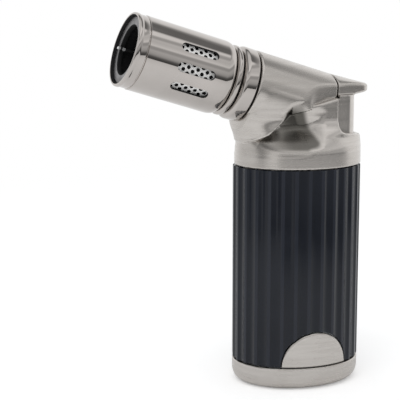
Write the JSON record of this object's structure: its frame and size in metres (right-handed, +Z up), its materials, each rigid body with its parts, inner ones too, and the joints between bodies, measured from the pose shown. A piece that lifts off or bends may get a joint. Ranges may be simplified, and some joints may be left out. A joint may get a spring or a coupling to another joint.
{
  "type": "butane torch",
  "caption": "Pocket gas torch with an oval fluted grip, a tilted slotted burner and a press-down thumb button.",
  "frame": {"origin": "middle of the base cup's flat underside, on the surface that the torch stands on", "axes": "+Z up along the grip, -X towards the burner's mouth, +X towards the thumb button, -Y towards the side with the half-moon plate"},
  "size_m": [0.0761, 0.031, 0.1077],
  "materials": {
    "satin_nickel": "satin nickel plate on a zinc casting",
    "polished_nickel": "polished dark nickel",
    "black_grip": "semi-gloss blue-black",
    "bright_sheet": "bright perforated sheet",
    "steel": "plain steel",
    "brass": "turned brass",
    "clear_tank": "milky moulded plastic",
    "black_plastic": "moulded black",
    "rubber": "soft black",
    "ceramic": "glazed white",
    "red_wire": "red insulation"
  },
  "bodies": {
    "torch_body": {"base_cup": "satin_nickel", "grip_sleeve": "black_grip", "half_moon_plate": "satin_nickel", "head_casting": "satin_nickel", "fuel_tank": "clear_tank", "tank_gasket": "rubber", "tank_lid": "black_plastic", "lever_pin": "steel", "gas_valve_body": "brass", "gas_valve_spring": "steel", "gas_hose": "rubber", "piezo_case": "black_plastic", "return_spring": "steel", "ignition_wire": "red_wire", "fill_valve_body": "brass", "fill_valve_spring": "steel", "dial_o_ring": "rubber", "metering_block": "brass", "feed_tube": "clear_tank", "base_screw_front": "steel", "base_screw_back": "steel", "collar_ring": "polished_nickel", "bead_ring": "polished_nickel", "nozzle_shell": "polished_nickel", "perforated_liner": "bright_sheet", "flame_tube": "steel", "neck_tube": "steel", "jet_block": "brass", "mixing_tube": "brass", "burner_head": "brass", "ceramic_insulator": "ceramic", "electrode_rod": "steel"},
    "button": {"thumb_button": "satin_nickel", "piezo_plunger": "clear_tank"},
    "lever": {"valve_lever": "steel"},
    "gas_stem": {"gas_valve_stem": "brass"},
    "dial": {"flame_dial": "black_plastic", "metering_spindle": "brass"},
    "fill_pin": {"fill_valve_pin": "brass"}
  },
  "joints": [
    {"name": "button_press", "type": "slide", "parent": "torch_body", "child": "button", "axis": [0, 0, -1], "range_m": [0, 0.0055], "stiffness_N_per_m": 900, "springref_m": -0.002, "deforming": ["return_spring"]},
    {"name": "lever_pivot", "type": "hinge", "parent": "torch_body", "child": "lever", "pos_m": [0, 0, 0.061], "axis": [0, 1, 0], "range_deg": [0, 28.01]},
    {"name": "gas_valve_lift", "type": "slide", "parent": "torch_body", "child": "gas_stem", "axis": [0, 0, 1], "range_m": [0, 0.0017], "stiffness_N_per_m": 300, "springref_m": -0.001, "deforming": ["gas_valve_spring"]},
    {"name": "flame_dial_turn", "type": "hinge", "parent": "torch_body", "child": "dial", "pos_m": [-0.00855, 0, 0], "axis": [0, 0, 1], "range_deg": [-90, 90]},
    {"name": "fill_pin_press", "type": "slide", "parent": "torch_body", "child": "fill_pin", "axis": [0, 0, 1], "range_m": [0, 0.0015], "stiffness_N_per_m": 150, "springref_m": -0.001, "deforming": ["fill_valve_spring"]}
  ],
  "couplings": [
    {"joint": "lever_pivot", "follows": "button_press", "rad_per_m": 88.853},
    {"joint": "gas_valve_lift", "follows": "button_press", "ratio": 0.30826}
  ]
}
